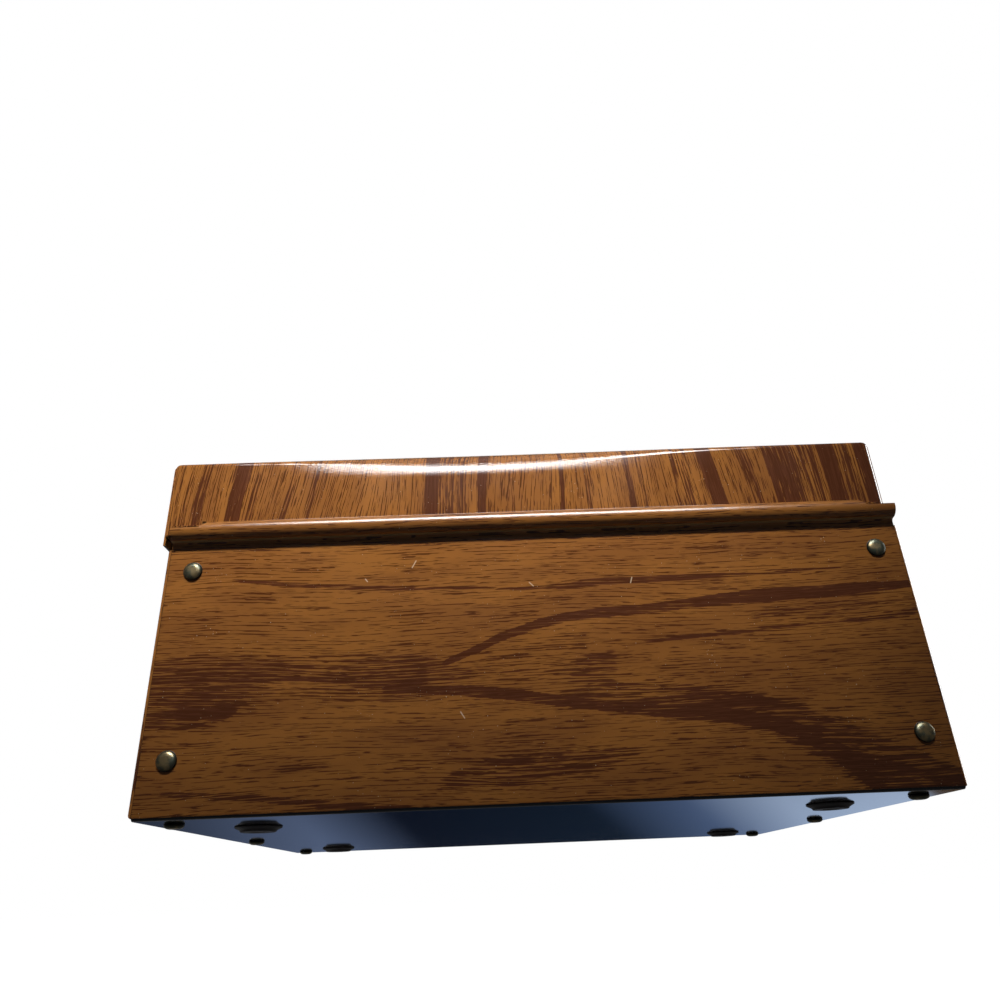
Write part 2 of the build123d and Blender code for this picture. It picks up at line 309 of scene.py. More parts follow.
# %% Print tools
def new_finish(name):
    """An empty material with a Principled shader, its tree and its shader."""
    finish = bpy.data.materials.new(name)
    finish.use_nodes = True
    tree = finish.node_tree
    tree.nodes.clear()
    output = tree.nodes.new("ShaderNodeOutputMaterial")
    shader = tree.nodes.new("ShaderNodeBsdfPrincipled")
    tree.links.new(shader.outputs["BSDF"], output.inputs["Surface"])
    return finish, tree, shader


def vector(tree, x, y, z):
    """Three numbers joined to one place."""
    node = tree.nodes.new("ShaderNodeCombineXYZ")
    for socket, value in zip(node.inputs, (x, y, z)):
        plug(tree, socket, value)
    return node.outputs[0]


def split(tree, value):
    """The X, Y and Z of a place or a direction."""
    node = tree.nodes.new("ShaderNodeSeparateXYZ")
    tree.links.new(value, node.inputs[0])
    return node.outputs


def grain_noise(tree, along, across, length, width, seed, detail=1.0):
    """Noise stretched along the grain: its grains are about length by width millimetres."""
    at = vector(tree, calc(tree, "DIVIDE", along, length), calc(tree, "DIVIDE", across, width), seed)
    node = tree.nodes.new("ShaderNodeTexNoise")
    node.inputs["Scale"].default_value = 1.0
    node.inputs["Detail"].default_value = detail
    tree.links.new(at, node.inputs["Vector"])
    return node.outputs["Fac"]


def cloud_noise(tree, place, size, detail=3.0):
    """Noise that is the same in every direction, with grains of about size millimetres."""
    node = tree.nodes.new("ShaderNodeTexNoise")
    node.inputs["Scale"].default_value = 1.0 / size
    node.inputs["Detail"].default_value = detail
    tree.links.new(vector(tree, *[place[i] for i in range(3)]), node.inputs["Vector"])
    return node.outputs["Fac"]


def blend_colours(tree, factor, first, second):
    """first where factor is 0, second where it is 1, for colours."""
    node = tree.nodes.new("ShaderNodeMix")
    node.data_type = "RGBA"
    plug(tree, node.inputs["Factor"], factor)
    plug(tree, node.inputs["A"], first)
    plug(tree, node.inputs["B"], second)
    return node.outputs["Result"]


def pick(tree, factor, first, second):
    """first where factor is 0, second where it is 1, for plain numbers."""
    return calc(tree, "MULTIPLY_ADD", calc(tree, "SUBTRACT", second, first), factor, first)


def place_in_mm(tree):
    """The place on the piece in millimetres, and the way its surface faces."""
    source = tree.nodes.new("ShaderNodeTexCoord")
    mapping = tree.nodes.new("ShaderNodeMapping")
    mapping.inputs["Scale"].default_value = (1 / mm,) * 3
    tree.links.new(source.outputs["Object"], mapping.inputs["Vector"])
    return split(tree, mapping.outputs[0]), split(tree, source.outputs["Normal"])


def add_bump(tree, shader, height, strength, unit):
    """Raises the shader's surface by height, counted in units of that many metres."""
    bump = tree.nodes.new("ShaderNodeBump")
    bump.inputs["Strength"].default_value = strength
    bump.inputs["Distance"].default_value = unit
    tree.links.new(height, bump.inputs["Height"])
    tree.links.new(bump.outputs[0], shader.inputs["Normal"])


print("print tools ready")

# %% [markdown]
# The figure of the wood is drawn with strokes. A stroke is a dark streak whose middle line and half
# width are two small curves along the grain, as a painter would lay them with a brush. Its edge is
# soft, and frays later, because the amount only sets how far the red brown ink spreads.


# %% Strokes
least_half_width = 0.05


def curve_along(tree, where, points):
    """A Float Curve through (place, value) points, held level beyond its two ends."""
    start, end = points[0][0], points[-1][0]
    low = min(value for _, value in points) - 1.0
    high = max(value for _, value in points) + 1.0
    share = calc(tree, "DIVIDE", calc(tree, "SUBTRACT", where, start), end - start, clamp=True)
    node = tree.nodes.new("ShaderNodeFloatCurve")
    line = node.mapping.curves[0]
    while len(line.points) < len(points):
        line.points.new(0.5, 0.5)
    for point, (spot, value) in zip(line.points, points):
        point.location = ((spot - start) / (end - start), (value - low) / (high - low))
    node.mapping.update()
    tree.links.new(share, node.inputs["Value"])
    return calc(tree, "MULTIPLY_ADD", node.outputs[0], high - low, low)


def stroke(tree, along, across, line, strength=1.0, softness=0.35, end_fade=3.0):
    """How much figure a streak adds. line holds (along, across, half width) from end to end."""
    start, end = line[0][0], line[-1][0]
    middle = curve_along(tree, along, [(u, v) for u, v, _ in line])
    half_width = curve_along(tree, along, [(u, w) for u, _, w in line])
    away = calc(tree, "ABSOLUTE", calc(tree, "SUBTRACT", across, middle))
    closeness = calc(tree, "DIVIDE", away, calc(tree, "MAXIMUM", half_width, least_half_width))
    body = ramp(tree, closeness, 1 + softness, 1 - softness, 0.0, strength)
    begun = ramp(tree, along, start - end_fade, start + end_fade)
    not_over = ramp(tree, along, end + end_fade, end - end_fade)
    return calc(tree, "MULTIPLY", body, calc(tree, "MULTIPLY", begun, not_over))


def most_of(tree, values):
    """The largest of several amounts at each place."""
    total = values[0]
    for value in values[1:]:
        total = calc(tree, "MAXIMUM", total, value)
    return total


print("strokes ready")

# %% [markdown]
# On faces that the photograph doesn't show, the figure is a plain cathedral: nested pointed arches,
# as flat-sawn oak has. An arch is a parabola, so rings of one formula make them all.

# %% Cathedral figure
ring_step, ring_sway = 17.0, 9
ring_edge, ring_strength = 0.2, 0.85
arch_sway = 26
sway_grain = (70, 26)


def cathedral(tree, along, across, tip, middle, spread, seed):
    """Figure of nested arches that open away from tip, spread millimetres wide for each ring."""
    wander = grain_noise(tree, along, across, *sway_grain, seed, 2.0)
    swayed_middle = calc(tree, "MULTIPLY_ADD", wander, arch_sway, middle - arch_sway / 2)
    offset = calc(tree, "SUBTRACT", across, swayed_middle)
    arch = calc(tree, "DIVIDE", calc(tree, "MULTIPLY", offset, offset), spread)
    from_tip = calc(tree, "SUBTRACT", along, tip)
    rings = calc(tree, "DIVIDE", calc(tree, "SUBTRACT", from_tip, arch), ring_step)
    wave = calc(tree, "SINE", calc(tree, "MULTIPLY_ADD", wander, ring_sway, rings))
    return ramp(tree, wave, ring_edge, 1.0, 0.0, ring_strength)


print("cathedral figure ready")

# %% [markdown]
# Now the inks. Each is a field of long and short grains, added and cut at a level. Where the level is
# high only the peaks are left, as separate dashes, and where it is low they join into solid colour.

# %% Inks
ground_golden = (0.272, 0.105, 0.0215, 1)
ground_tan = (0.220, 0.082, 0.0185, 1)
ink_red_brown = (0.088, 0.0265, 0.0100, 1)
ink_pore = (0.066, 0.0190, 0.0058, 1)
speck_cream = (0.60, 0.46, 0.28, 1)
# The length and width of each field's grains, in millimetres
drift_grain, cloud_grain, wander_grain = (75, 40), (38, 9), (60, 3.2)
long_fray_grain, short_fray_grain = (26, 0.36), (8.0, 0.33)
long_pore_grain, short_pore_grain = (15, 0.30), (4.5, 0.28)
grit_grain, rare_grain = (0.45, 0.4), (9, 9)
# How much each field adds to the next
drift_reach = 6.0
cloud_in_figure, cloud_in_pores = 0.75, 0.8
long_share, short_share = 0.55, 0.45
rows_turn, rows_sway = 4.9, 22.0
rows_in_fray, rows_in_pores = 0.055, 0.045
# The level each ink is cut at without figure, and how far figure lowers it
fill_level_plain, fill_level_drop = 0.80, -0.40
pore_level_plain, pore_level_drop = 0.568, -0.07
pore_cover, speck_cover = 0.92, 0.6


def print_colour(tree, along, across, amount, seed):
    """The colour of the print, and its ink for the bump."""
    drift = grain_noise(tree, along, across, *drift_grain, seed + 3)
    bent = calc(tree, "MULTIPLY_ADD", drift, drift_reach, across)
    cloud = grain_noise(tree, along, bent, *cloud_grain, seed + 11, 2.0)
    uneven = calc(tree, "SUBTRACT", cloud, 0.5)
    figure = calc(tree, "MULTIPLY_ADD", uneven, cloud_in_figure, amount)
    # The red brown ink, in frayed rows
    long_fray = grain_noise(tree, along, bent, *long_fray_grain, seed + 5)
    short_fray = grain_noise(tree, along, bent, *short_fray_grain, seed + 7)
    wander = grain_noise(tree, along, bent, *wander_grain, seed + 41)
    across_rows = calc(tree, "MULTIPLY", bent, rows_turn)
    rows = calc(tree, "SINE", calc(tree, "MULTIPLY_ADD", wander, rows_sway, across_rows))
    short_part = calc(tree, "MULTIPLY", short_fray, short_share)
    fray = calc(tree, "MULTIPLY_ADD", long_fray, long_share, short_part)
    fray = calc(tree, "MULTIPLY_ADD", rows, rows_in_fray, fray)
    fill_level = calc(tree, "MULTIPLY_ADD", figure, fill_level_drop, fill_level_plain)
    filled = ramp(tree, calc(tree, "SUBTRACT", fray, fill_level), -0.02, 0.03)
    # The dark ink, in pores
    long_pore = grain_noise(tree, along, bent, *long_pore_grain, seed + 13, 0.0)
    short_pore = grain_noise(tree, along, bent, *short_pore_grain, seed + 17)
    pores = calc(tree, "MULTIPLY_ADD", long_pore, 0.5, calc(tree, "MULTIPLY", short_pore, 0.5))
    pores = calc(tree, "MULTIPLY_ADD", rows, rows_in_pores, pores)
    crowding = calc(tree, "ADD", calc(tree, "MULTIPLY", uneven, cloud_in_pores), figure)
    pore_level = calc(tree, "MULTIPLY_ADD", crowding, pore_level_drop, pore_level_plain)
    inked = ramp(tree, calc(tree, "SUBTRACT", pores, pore_level), -0.012, 0.028)
    # The ground, then one ink over the other, and a few specks of dust
    ground = blend_colours(tree, ramp(tree, cloud, 0.35, 0.65), ground_golden, ground_tan)
    printed = blend_colours(tree, filled, ground, ink_red_brown)
    printed = blend_colours(tree, calc(tree, "MULTIPLY", inked, pore_cover), printed, ink_pore)
    grit = grain_noise(tree, along, across, *grit_grain, seed + 19, 0.0)
    rare = grain_noise(tree, along, across, *rare_grain, seed + 23)
    specks = ramp(tree, calc(tree, "MULTIPLY_ADD", rare, 0.35, grit), 1.02, 1.08, 0.0, speck_cover)
    return blend_colours(tree, specks, printed, speck_cream), calc(tree, "MAXIMUM", filled, inked)


print("ink tools ready")

# %% [markdown]
# Over the inks lies a gloss lacquer. Sprayed lacquer dries with fine pits and a slow ripple, and ink
# stands a little proud under it, so one height field adds the three for the bump. Where hands have
# been, the gloss is smeared, so the roughness drifts between two close values.

# %% Lacquer
pit_grain, ripple_grain, smear_grain = (0.62, 0.62), (14, 11), (22, 16)
pit_height, ripple_height, ink_height = 2.6, 6.0, 0.06
bump_strength, bump_unit = 0.5, 0.00002
rough_clean, rough_smeared = 0.095, 0.14
rough_mirror, rough_worn = 0.07, 0.21


def lacquer(tree, shader, along, across, ink, seed, mirror=None, shoulder=None, worn=None):
    """The bump and the gloss of the coat over the print.

    Where mirror is 1 the coat is smooth and without print, and where worn is 1 it is rubbed dull.
    shoulder adds a height of its own."""
    pits = grain_noise(tree, along, across, *pit_grain, seed + 29, 2.0)
    ripple = grain_noise(tree, along, across, *ripple_grain, seed + 31)
    pitted = calc(tree, "MULTIPLY", pits, pit_height)
    rippled = calc(tree, "MULTIPLY_ADD", ripple, ripple_height, pitted)
    height = calc(tree, "MULTIPLY_ADD", ink, ink_height, rippled)
    if mirror is not None:
        height = calc(tree, "MULTIPLY", height, calc(tree, "SUBTRACT", 1.0, mirror))
    if shoulder is not None:
        height = calc(tree, "ADD", height, shoulder)
    add_bump(tree, shader, height, bump_strength, bump_unit)
    smear = grain_noise(tree, along, across, *smear_grain, seed + 37, 3.0)
    roughness = ramp(tree, smear, 0.3, 0.7, rough_clean, rough_smeared)
    if mirror is not None:
        roughness = pick(tree, mirror, roughness, rough_mirror)
    if worn is not None:
        roughness = pick(tree, worn, roughness, rough_worn)
    plug(tree, shader.inputs["Roughness"], roughness)


print("lacquer ready")

# %% [markdown]
# A few hairline scratches have gone through the lacquer. Each is a short slanted tick.


# %% Scratches
tick_taper = 0.4


def tick(tree, along, across, spot, length, tilt, width=0.22):
    """1 on a short scratch of that length, tilted by that many degrees from the grain."""
    u = calc(tree, "SUBTRACT", along, spot[0])
    v = calc(tree, "SUBTRACT", across, spot[1])
    c, s = math.cos(math.radians(tilt)), math.sin(math.radians(tilt))
    lengthways = calc(tree, "ABSOLUTE", calc(tree, "MULTIPLY_ADD", u, c, calc(tree, "MULTIPLY", v, s)))
    sideways = calc(tree, "ABSOLUTE", calc(tree, "MULTIPLY_ADD", v, c, calc(tree, "MULTIPLY", u, -s)))
    within_ends = ramp(tree, lengthways, length / 2, length / 2 - tick_taper)
    return calc(tree, "MULTIPLY", within_ends, ramp(tree, sideways, width, width / 3))


print("scratch tool ready")

# %% [markdown]
# ## The wrap
#
# The wrap is the back, bottom and front. Its grain runs along the box. The print is on the outside
# of the sheet only. The inside has a plain tan enamel, and the underside is near black and glossy.
# Where shears cut the sheet, bare steel has gone dark. One material covers the whole piece, and picks
# between these by place and by the way the surface faces.

# %% Sheet finishes
enamel_tan = (0.40, 0.27, 0.13, 1)
# The colour of the underside: near black.
underside_near_black = (0.0045, 0.0065, 0.012, 1)
cut_steel = (0.085, 0.055, 0.038, 1)
cut_metallic = 0.4
mottle_size, mottle_shade = 16, 0.82


def outside_of(tree, place, facing, centre):
    """1 on the outside of a sheet that is folded round centre, 0 on its inside."""
    terms = [
        calc(tree, "MULTIPLY", facing[axis], calc(tree, "SUBTRACT", place[axis], centre[axis]))
        for axis in range(3)
    ]
    reach = calc(tree, "ADD", calc(tree, "ADD", terms[0], terms[1]), terms[2])
    return calc(tree, "GREATER_THAN", reach, 0.0)


def enamel_mottle(tree, place, colour):
    """A plain enamel, thinner in places."""
    dark = [c * mottle_shade for c in colour[:3]] + [1]
    cloud = cloud_noise(tree, place, mottle_size, 4.0)
    return blend_colours(tree, ramp(tree, cloud, 0.3, 0.7), dark, colour)


def finish_sheet(tree, shader, place, printed, outside, cut=None, night=None):
    """Joins the print, the inside enamel, the dark underside and the cut edges of one sheet."""
    colour = blend_colours(tree, outside, enamel_mottle(tree, place, enamel_tan), printed)
    if night is not None:
        colour = blend_colours(tree, night, colour, enamel_mottle(tree, place, underside_near_black))
    if cut is not None:
        colour = blend_colours(tree, cut, colour, cut_steel)
        plug(tree, shader.inputs["Metallic"], calc(tree, "MULTIPLY", cut, cut_metallic))
    plug(tree, shader.inputs["Base Color"], colour)


print("sheet finishes ready")

# %% Wrap figure
# Each row: the strength of a stroke, how soft its edge is, and its (along, across, half width)
# from end to end, in millimetres from the middle of the back and above the ground.
back_figure = (
    (1.15, 0.25, ((-29, 39.5, 0.9), (-19, 43.5, 1.2), (-9, 47.8, 1.4), (10, 52.4, 1.5),
                  (35.5, 54.2, 1.6), (59, 56.3, 2.0), (83.5, 57.2, 1.9), (113, 58.8, 1.0))),
    (0.74, 0.45, ((-113, 34, 12.5), (-91, 36, 8.5), (-79, 38.5, 6.5), (-45, 37.5, 8.0),
                  (-29, 36, 5.5), (-18, 35, 3.0))),
    (0.92, 0.4, ((-113, 38, 1.6), (-85, 38.5, 2.0), (-66, 36, 1.8), (-44, 36.5, 3.2),
                 (-31, 35.2, 3.0))),
    (0.80, 0.5, ((-113, 28, 3.0), (-96, 27.5, 3.2), (-84, 30, 1.0))),
    (1.1, 0.3, ((-46, 33.2, 1.2), (-18, 31.6, 1.6), (8, 27.8, 1.7), (32, 24.6, 2.1), (53.5, 22.0, 2.4),
                (69, 17.2, 3.0), (80, 10.0, 4.2), (90, 3.0, 5.5), (100, -2.0, 5.0))),
    (0.85, 0.25, ((4, 29, 2.0), (20, 28.6, 4.4), (35, 27.0, 5.2), (53, 24.3, 5.2), (65, 20.5, 6.2),
                  (80, 12.8, 8.4), (88, 8.5, 9.2), (106, 2.0, 6.6), (113, -0.5, 5.5))),
    (0.95, 0.4, ((86, 9.0, 3.0), (98, 4.0, 4.0), (113, -1.0, 4.5))),
    (0.9, 0.4, ((28, 44, 0.5), (57.5, 46.1, 0.8), (81, 47.6, 0.8), (99, 48.7, 0.9), (113, 52, 1.6))),
    (0.52, 0.5, ((-20, 37.5, 3.0), (-2, 39, 6.0), (24, 38.5, 7.0))),
    (0.72, 0.4, ((6, 36, 3.0), (14, 36.5, 5.5), (22, 37.5, 6.5))),
    (0.95, 0.4, ((-91, 67.2, 0.5), (-70, 64.9, 0.9), (-46, 63.1, 0.8), (-20, 62.2, 0.4),
                 (-2, 61.4, 0.6), (17, 62.5, 1.1), (40, 63.1, 1.0), (91, 64.2, 0.5))),
    (0.85, 0.5, ((-30, 7.2, 1.2), (-22, 9.4, 2.8), (-8, 10.5, 4.6), (5, 12, 4.4), (14, 12.6, 3.4),
                 (25, 14.5, 0.8))),
    (0.9, 0.4, ((-102, 7.8, 0.7), (-81, 6.3, 0.9), (-58, 3.7, 1.0), (-29, 0.9, 1.0))),
    (0.55, 0.5, ((60, 50.5, 1.0), (85, 51.5, 3.2), (113, 53.5, 2.5))),
)
# Each row: where a scratch lies, its length and its tilt in degrees.
back_scratches = (
    ((-2.0, 62.6), 2.2, -45), ((27.5, 62.8), 2.4, 72), ((-22.8, 25.5), 2.6, -58),
    ((-36.5, 70.2), 3.0, 62), ((-50.5, 65.6), 1.6, -50),
)
scratch_cover = 0.75
wrap_finish, wrap_tree, wrap_shader = new_finish("wrap_print")
wrap_place, wrap_facing = place_in_mm(wrap_tree)
wrap_along = wrap_place["X"]
near_back = -90.0
on_back = calc(wrap_tree, "LESS_THAN", wrap_place["Y"], near_back)
print("strokes on the back:", len(back_figure))

# %% [markdown]
# Round the roll, height above the ground no longer says how far across the sheet a point is. There
# the angle round the middle of the roll does, so the print runs on over it without stretching.

# %% Wrap grain
roll_y, roll_z, roll_radius = -96.0, 82.55, 2.75    # the middle of the sheet round the roll
roll_starts = 79.6
across_at_roll = 83.3
night_top = 2.6
from_roll_y = calc(wrap_tree, "SUBTRACT", wrap_place["Y"], roll_y)
from_roll_z = calc(wrap_tree, "SUBTRACT", wrap_place["Z"], roll_z)
roll_angle = calc(wrap_tree, "ARCTAN2", from_roll_z, calc(wrap_tree, "MULTIPLY", from_roll_y, -1.0))
roll_across = calc(wrap_tree, "MULTIPLY_ADD", roll_angle, roll_radius, across_at_roll)
at_roll_height = calc(wrap_tree, "GREATER_THAN", wrap_place["Z"], roll_starts)
in_roll = calc(wrap_tree, "MULTIPLY", at_roll_height, on_back)
from_back = calc(wrap_tree, "ADD", wrap_place["Y"], half_depth)
flat_across = calc(wrap_tree, "ADD", from_back, wrap_place["Z"])
wrap_across = pick(wrap_tree, in_roll, flat_across, roll_across)
drawn = most_of(wrap_tree, [
    stroke(wrap_tree, wrap_along, wrap_across, line, strength, softness)
    for strength, softness, line in back_figure
])
plain = cathedral(wrap_tree, wrap_along, wrap_across, tip=-60, middle=225, spread=18, seed=4.0)
wrap_amount = pick(wrap_tree, on_back, plain, drawn)
wrap_printed, wrap_ink = print_colour(wrap_tree, wrap_along, wrap_across, wrap_amount, 1.0)
ticks = [tick(wrap_tree, wrap_along, wrap_across, *row) for row in back_scratches]
scratched = most_of(wrap_tree, ticks)
scratched = calc(wrap_tree, "MULTIPLY", scratched, calc(wrap_tree, "MULTIPLY", on_back, scratch_cover))
wrap_printed = blend_colours(wrap_tree, scratched, wrap_printed, speck_cream)
faces_down = ramp(wrap_tree, wrap_facing["Z"], -0.35, -0.5)
near_ground = calc(wrap_tree, "LESS_THAN", wrap_place["Z"], night_top)
wrap_night = calc(wrap_tree, "MULTIPLY", faces_down, near_ground)
lacquer(wrap_tree, wrap_shader, wrap_along, wrap_across, wrap_ink, 1.0, mirror=wrap_night, worn=in_roll)
print("wrap nodes so far:", len(wrap_tree.nodes))

# %% Wrap sides
z_squared = calc(wrap_tree, "MULTIPLY", from_roll_z, from_roll_z)
from_roll_squared = calc(wrap_tree, "MULTIPLY_ADD", from_roll_y, from_roll_y, z_squared)
from_roll = calc(wrap_tree, "SQRT", from_roll_squared)
roll_outside = calc(wrap_tree, "GREATER_THAN", from_roll, roll_radius)
box_outside = outside_of(wrap_tree, wrap_place, wrap_facing, (0.0, 0.0, 40.0))
wrap_outside = pick(wrap_tree, in_roll, box_outside, roll_outside)
wrap_cut = calc(wrap_tree, "GREATER_THAN", calc(wrap_tree, "ABSOLUTE", wrap_facing["X"]), 0.9)
finish_sheet(wrap_tree, wrap_shader, wrap_place, wrap_printed, wrap_outside, wrap_cut, wrap_night)
nodes["body_wrap"].material_slots[0].material = wrap_finish
print("wrap nodes:", len(wrap_tree.nodes))

# %% [markdown]
# ## The end plates
#
# Each end plate is cut from the same printed sheet, with the grain upright. What shows from behind is
# a sliver beside the wrap's edge, where the lines of the grain run up the bend. Along the seam between
# the two sheets runs a thin dark line, partly grime and partly painted shade of the gap.

# %% Plate finish
# The colour of the seam line: painted shade of the gap between the sheets, with grime.
seam_shade_and_grime = (0.012, 0.007, 0.005, 1)
seam_outer, seam_inner = 109.75, 109.45
seam_back = -92.0
for side, outwards, seed in (("left", -1.0, 31.0), ("right", 1.0, 37.0)):
    plate_finish, plate_tree, plate_shader = new_finish("plate_print_" + side)
    plate_place, plate_facing = place_in_mm(plate_tree)
    plate_across = calc(plate_tree, "MULTIPLY_ADD", plate_place["X"], -outwards, plate_place["Y"])
    plate_along = plate_place["Z"]
    plate_amount = cathedral(
        plate_tree, plate_along, plate_across, tip=-70, middle=-100, spread=16, seed=seed,
    )
    plate_printed, plate_ink = print_colour(plate_tree, plate_along, plate_across, plate_amount, seed)
    lacquer(plate_tree, plate_shader, plate_along, plate_across, plate_ink, seed)
    plate_outside = outside_of(plate_tree, plate_place, plate_facing, (outwards * 60.0, 0.0, 40.0))
    # A thin dark line along the seam: painted shade of the gap between the sheets, and grime.
    from_middle = calc(plate_tree, "ABSOLUTE", plate_place["X"])
    in_seam = ramp(plate_tree, from_middle, seam_outer, seam_inner)
    behind = calc(plate_tree, "LESS_THAN", plate_place["Y"], seam_back)
    at_seam = calc(plate_tree, "MULTIPLY", in_seam, behind)
    plate_printed = blend_colours(plate_tree, at_seam, plate_printed, seam_shade_and_grime)
    finish_sheet(plate_tree, plate_shader, plate_place, plate_printed, plate_outside)
    nodes["end_plate_" + side].material_slots[0].material = plate_finish
    print("end plate", side, "nodes:", len(plate_tree.nodes))

# %% [markdown]
# ## The lid
#
# On the lid the grain runs from back to front, so it stands upright on the rear wall. The sheet is
# folded, so a dark streak that goes up the wall carries on over the top. Its side walls are folded
# from the same sheet, where the grain lies level. The lines fan out a little towards the hinge, so
# each one leans by an amount that a curve along the wall gives.

# %% Lid grain
# Each row: the middle of a streak on the rear wall, its half width and its strength.
lid_streaks = (
    (-108.0, 2.6, 0.45), (-102.5, 1.6, 0.6), (-91.0, 2.3, 1.15), (-86.5, 1.4, 0.5), (-75.5, 0.9, 0.6),
    (-68.0, 0.7, 0.5), (-31.5, 2.0, 1.15), (-27.0, 3.0, 0.62), (-21.5, 1.4, 0.5), (-15.5, 1.5, 0.95),
    (8.8, 0.7, 0.9), (17.0, 1.0, 0.5), (31.0, 0.9, 0.75), (35.0, 0.6, 0.6), (47.5, 2.8, 0.62),
    (56.0, 2.3, 1.15), (68.0, 1.6, 0.5), (78.5, 4.6, 0.74), (86.5, 2.6, 0.6), (93.0, 2.6, 1.1),
    (99.0, 2.0, 0.5), (105.0, 2.8, 0.95),
)
# Each row: a place along the wall, and how far a line leans there for each millimetre it goes.
lid_lean = (
    (-113, 0.02), (-91, 0.06), (-76, 0.14), (-50, 0.12), (-28, 0.02), (5, -0.02), (35, -0.06),
    (57, -0.20), (80, -0.15), (109, -0.10),
)
lid_figure_all_over = 0.22
lean_level, lean_limit = 97.0, 40.0
sway_size, sway_reach = 60, 9.0
lid_finish, lid_tree, lid_shader = new_finish("lid_print")
lid_place, lid_facing = place_in_mm(lid_tree)
lid_middle, lid_fold = -2.1, 105.6
on_side = calc(lid_tree, "GREATER_THAN", calc(lid_tree, "ABSOLUTE", lid_facing["X"]), 0.7)
down = calc(lid_tree, "SUBTRACT", lid_fold, lid_place["Z"])
left_or_right = calc(lid_tree, "SIGN", calc(lid_tree, "SUBTRACT", lid_place["X"], lid_middle))
side_drop = calc(lid_tree, "MULTIPLY", calc(lid_tree, "MULTIPLY", down, left_or_right), on_side)
lid_across = calc(lid_tree, "ADD", lid_place["X"], side_drop)
over_the_edge = calc(lid_tree, "MULTIPLY", calc(lid_tree, "SUBTRACT", 1.0, on_side), lid_place["Z"])
lid_along = calc(lid_tree, "ADD", calc(lid_tree, "ADD", lid_place["Y"], half_depth), over_the_edge)
from_level = calc(lid_tree, "DIVIDE", calc(lid_tree, "SUBTRACT", lid_along, lean_level), lean_limit)
lean_reach = calc(lid_tree, "MULTIPLY", calc(lid_tree, "TANH", from_level), -lean_limit)
sway_field = grain_noise(lid_tree, lid_along, lid_across, sway_size, sway_size, 5.0)
sway = calc(lid_tree, "SUBTRACT", sway_field, 0.5)
swayed = calc(lid_tree, "MULTIPLY_ADD", sway, sway_reach, lid_across)
lean = curve_along(lid_tree, lid_across, lid_lean)
lid_straight = calc(lid_tree, "MULTIPLY_ADD", lean, lean_reach, swayed)


def streak(tree, across, middle, half_width, strength):
    """How much figure a straight streak adds, with a soft edge on either side."""
    away = calc(tree, "ABSOLUTE", calc(tree, "SUBTRACT", across, middle))
    return ramp(tree, away, half_width * 1.35, half_width * 0.75, 0.0, strength)


lid_amount = most_of(lid_tree, [streak(lid_tree, lid_straight, *spot) for spot in lid_streaks])
lid_amount = calc(lid_tree, "ADD", lid_amount, lid_figure_all_over)
print("lid streaks:", len(lid_streaks))

# %% [markdown]
# The press left the rear edge a little rounder than its bend: the wall starts to lean back some
# millimetres below it, most in the middle. That draws the long streak of light down into a bow, and
# the grain of the lacquer breaks up its lower edge.

# %% Rear shoulder
shoulder_start, shoulder_lean = 99.3, -1.9
shoulder_middle, shoulder_half_length = -20.0, 66.0
above_start = calc(lid_tree, "SUBTRACT", lid_place["Z"], shoulder_start)
into_bend = calc(lid_tree, "MAXIMUM", above_start, 0.0)
squared = calc(lid_tree, "MULTIPLY", into_bend, into_bend)
lean_back = calc(lid_tree, "MULTIPLY", squared, shoulder_lean)
from_shoulder = calc(lid_tree, "ADD", lid_place["X"], -shoulder_middle)
off_middle = calc(lid_tree, "DIVIDE", from_shoulder, shoulder_half_length)
fade = calc(lid_tree, "SUBTRACT", 1.0, calc(lid_tree, "MULTIPLY", off_middle, off_middle))
bow = calc(lid_tree, "MAXIMUM", fade, 0.0)
on_rear = calc(lid_tree, "LESS_THAN", lid_place["Y"], near_back)
rear_wall = calc(lid_tree, "MULTIPLY", on_rear, calc(lid_tree, "MULTIPLY", bow, bow))
grain = grain_noise(lid_tree, lid_place["X"], lid_place["Z"], 0.55, 0.45, 71.0)
grainy = calc(lid_tree, "MULTIPLY_ADD", grain, 0.30, 0.85)
shoulder = calc(lid_tree, "MULTIPLY", calc(lid_tree, "MULTIPLY", lean_back, rear_wall), grainy)
print("shoulder starts at", shoulder_start)

# %% Lid finish
lid_rim_top = 90.0
lid_printed, lid_ink = print_colour(lid_tree, lid_along, lid_straight, lid_amount, 51.0)
lacquer(lid_tree, lid_shader, lid_along, lid_across, lid_ink, 51.0, shoulder=shoulder)
lid_outside = outside_of(lid_tree, lid_place, lid_facing, (lid_middle, 0.0, 90.0))
lid_rim = calc(lid_tree, "LESS_THAN", lid_place["Z"], lid_rim_top)
lid_cut = calc(lid_tree, "MULTIPLY", calc(lid_tree, "LESS_THAN", lid_facing["Z"], -0.9), lid_rim)
finish_sheet(lid_tree, lid_shader, lid_place, lid_printed, lid_outside, lid_cut)
nodes["lid"].material_slots[0].material = lid_finish
print("lid nodes:", len(lid_tree.nodes))

# %% [markdown]
# ## The rivets
#
# The sheets are held by small tubular rivets: a low domed head outside, and a tube that the press
# curls over inside. Their look is in that roundness, so one is turned here from a flat disc, its
# axis upright and its head up. Each step picks one face by its place and insets, moves or extrudes it.

# %% Face tools
same_height = 0.01 * mm
nearly_level = 0.9


def pick_faces(height, direction, reach):
    """In edit mode, selects the faces near the axis at that height that look up (1) or down (-1)."""
    piece = bpy.context.object
    bpy.ops.mesh.select_all(action="DESELECT")
    bpy.ops.object.mode_set(mode="OBJECT")
    for face in piece.data.polygons:
        near_axis = math.hypot(face.center.x, face.center.y) < reach
        at_height = abs(face.center.z - height) < same_height
        face.select = near_axis and at_height and face.normal.z * direction > nearly_level
    bpy.ops.object.mode_set(mode="EDIT")


